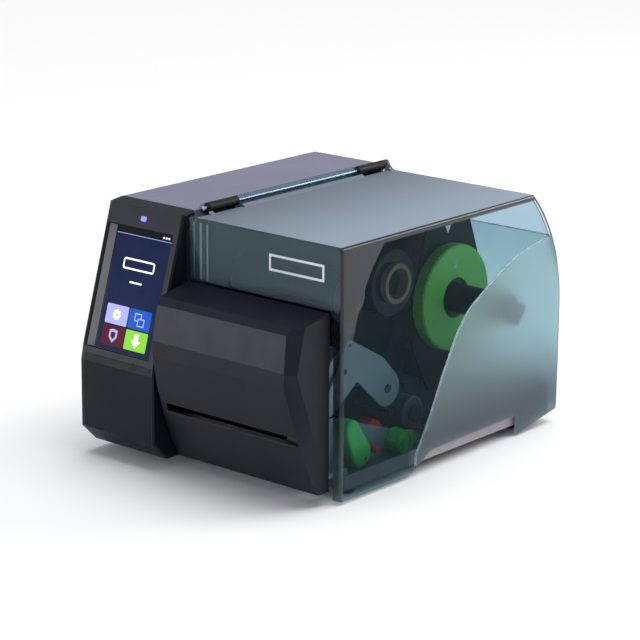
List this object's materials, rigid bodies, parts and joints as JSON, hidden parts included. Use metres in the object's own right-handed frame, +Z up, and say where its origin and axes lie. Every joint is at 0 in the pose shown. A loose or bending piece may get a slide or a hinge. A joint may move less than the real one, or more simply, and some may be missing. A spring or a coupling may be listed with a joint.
{
  "type": "label maker",
  "caption": "Desktop thermal-transfer label printer with a sloped touch display, hinged clear cover, tilting front cutter, ribbon spindles and a roll axle.",
  "frame": {"origin": "on the table, under the middle of the closed printer's bounding box", "axes": "+X to the right seen from the front, +Y to the back, +Z up; the display and the cutter face -Y"},
  "size_m": [0.253, 0.345, 0.2207],
  "materials": {
    "sheet_steel": "satin paint",
    "rubber_foot": "matte",
    "mechanism_plate": "satin paint",
    "housing_paint": "fine textured paint",
    "black_plastic": "matte",
    "socket_metal": "brushed",
    "screw_steel": "brushed",
    "dark_shell": "fine textured, matte",
    "dark_panel": "smooth satin",
    "display_glass": "glossy, lit panel behind it",
    "board_green": "solder mask",
    "light_lens": "translucent, lit",
    "zinc_steel": "zinc plated",
    "motor_black": "satin",
    "belt_rubber": "matte",
    "shaft_steel": "ground",
    "red_plastic": "satin",
    "grey_plastic": "satin",
    "clear_cover": "clear window, frosted band and matte top",
    "blade_steel": "ground edge",
    "cast_alloy": "cast, satin",
    "green_plastic": "satin",
    "platen_rubber": "ground rubber",
    "core_board": "wound board",
    "ribbon_film": "glossy film",
    "mechanism_plastic": "satin"
  },
  "bodies": {
    "base": {"base_pan": "sheet_steel", "rubber_feet": "rubber_foot", "partition_wall": "mechanism_plate", "side_cover": "housing_paint", "rear_panel": "housing_paint", "power_inlet": "black_plastic", "rear_sockets": "socket_metal", "case_screws": "screw_steel", "front_bezel": "dark_shell", "lower_front_panel": "dark_panel", "display_glass": "display_glass", "display_module": "board_green", "status_light": "light_lens", "main_board": "board_green", "power_supply": "zinc_steel", "motor_bracket": "zinc_steel", "platen_motor": "motor_black", "drive_belt": "belt_rubber", "platen_bushings": "black_plastic", "outer_side_plate": "mechanism_plate", "cross_shafts": "shaft_steel", "label_sensor": "black_plastic", "stop_pin": "red_plastic", "media_chute": "mechanism_plate", "ribbon_drives": "motor_black", "roll_axle": "grey_plastic", "hinge_blocks": "black_plastic", "hinge_pin": "shaft_steel", "cutter_brackets": "mechanism_plate"},
    "cover": {"cover_shell": "clear_cover"},
    "cutter": {"cutter_cover": "dark_shell", "tear_strip": "blade_steel", "cutter_frame": "mechanism_plate", "fixed_blade": "blade_steel", "blade_bearings": "black_plastic", "cutter_motor": "motor_black"},
    "blade": {"rotary_blade": "blade_steel"},
    "head": {"head_side_plates": "mechanism_plate", "head_beam": "cast_alloy", "print_head": "cast_alloy"},
    "lock": {"lock_shaft": "shaft_steel", "lock_lever": "green_plastic"},
    "platen": {"platen_shaft": "shaft_steel", "platen_roller": "platen_rubber", "platen_pulley": "black_plastic"},
    "motor_rotor": {"motor_pulley": "shaft_steel"},
    "knob": {"guide_screw": "shaft_steel", "guide_knob": "green_plastic"},
    "guide": {"media_guide": "black_plastic"},
    "deflector": {"deflection_roller": "grey_plastic"},
    "adjuster": {"adjust_wheel": "red_plastic"},
    "takeup": {"takeup_hub": "black_plastic", "takeup_core": "core_board", "takeup_ribbon": "ribbon_film"},
    "supply": {"supply_hub": "black_plastic", "supply_core": "core_board", "supply_ribbon": "ribbon_film"},
    "margin": {"margin_stop": "mechanism_plastic"},
    "ring": {"lock_ring": "green_plastic"},
    "switch": {"power_switch": "black_plastic"}
  },
  "joints": [
    {"name": "cover_hinge", "type": "hinge", "parent": "base", "child": "cover", "pos_m": [-0.037, 0, 0.2165], "axis": [0, -1, 0], "range_deg": [0, 100]},
    {"name": "cutter_tilt", "type": "hinge", "parent": "base", "child": "cutter", "pos_m": [0.038, -0.1335, 0.017], "axis": [1, 0, 0], "range_deg": [0, 40]},
    {"name": "blade_turn", "type": "hinge", "parent": "cutter", "child": "blade", "pos_m": [0.03, -0.144, 0.065], "axis": [1, 0, 0], "range_deg": [0, 70]},
    {"name": "head_lift", "type": "hinge", "parent": "base", "child": "head", "pos_m": [0.025, -0.0195, 0.066], "axis": [-1, 0, 0], "range_deg": [0, 10]},
    {"name": "lock_turn", "type": "hinge", "parent": "base", "child": "lock", "pos_m": [0.025, -0.071, 0.0255], "axis": [1, 0, 0], "range_deg": [0, 55]},
    {"name": "platen_spin", "type": "hinge", "parent": "base", "child": "platen", "pos_m": [0.025, -0.1075, 0.047], "axis": [1, 0, 0], "continuous": true},
    {"name": "motor_spin", "type": "hinge", "parent": "base", "child": "motor_rotor", "pos_m": [-0.05, -0.0595, 0.047], "axis": [1, 0, 0], "continuous": true},
    {"name": "knob_turn", "type": "hinge", "parent": "base", "child": "knob", "pos_m": [0.025, -0.0165, 0.022], "axis": [1, 0, 0], "range_deg": [-1800, 900]},
    {"name": "guide_slide", "type": "slide", "parent": "base", "child": "guide", "axis": [1, 0, 0], "range_m": [-0.0402, 0.0202]},
    {"name": "deflector_spin", "type": "hinge", "parent": "base", "child": "deflector", "pos_m": [0.025, 0.0185, 0.035], "axis": [1, 0, 0], "continuous": true},
    {"name": "adjuster_turn", "type": "hinge", "parent": "base", "child": "adjuster", "pos_m": [0.08, -0.0355, 0.0275], "axis": [1, 0, 0], "range_deg": [-180, 180]},
    {"name": "takeup_spin", "type": "hinge", "parent": "base", "child": "takeup", "pos_m": [0.025, -0.0641, 0.1528], "axis": [1, 0, 0], "continuous": true},
    {"name": "supply_spin", "type": "hinge", "parent": "base", "child": "supply", "pos_m": [0.025, -0.0032, 0.1526], "axis": [1, 0, 0], "continuous": true},
    {"name": "margin_slide", "type": "slide", "parent": "base", "child": "margin", "axis": [1, 0, 0], "range_m": [-0.07, 0.04]},
    {"name": "ring_turn", "type": "hinge", "parent": "margin", "child": "ring", "pos_m": [0.052, 0.1115, 0.113], "axis": [1, 0, 0], "range_deg": [-45, 45]},
    {"name": "switch_rock", "type": "hinge", "parent": "base", "child": "switch", "pos_m": [-0.098, 0.1265, 0.071], "axis": [1, 0, 0], "range_deg": [0, 14]}
  ],
  "couplings": [
    {"joint": "lock_turn", "follows": "head_lift", "ratio": 5.5},
    {"joint": "motor_spin", "follows": "platen_spin", "ratio": 2},
    {"joint": "guide_slide", "follows": "knob_turn", "m_per_rad": 0.0012732}
  ]
}
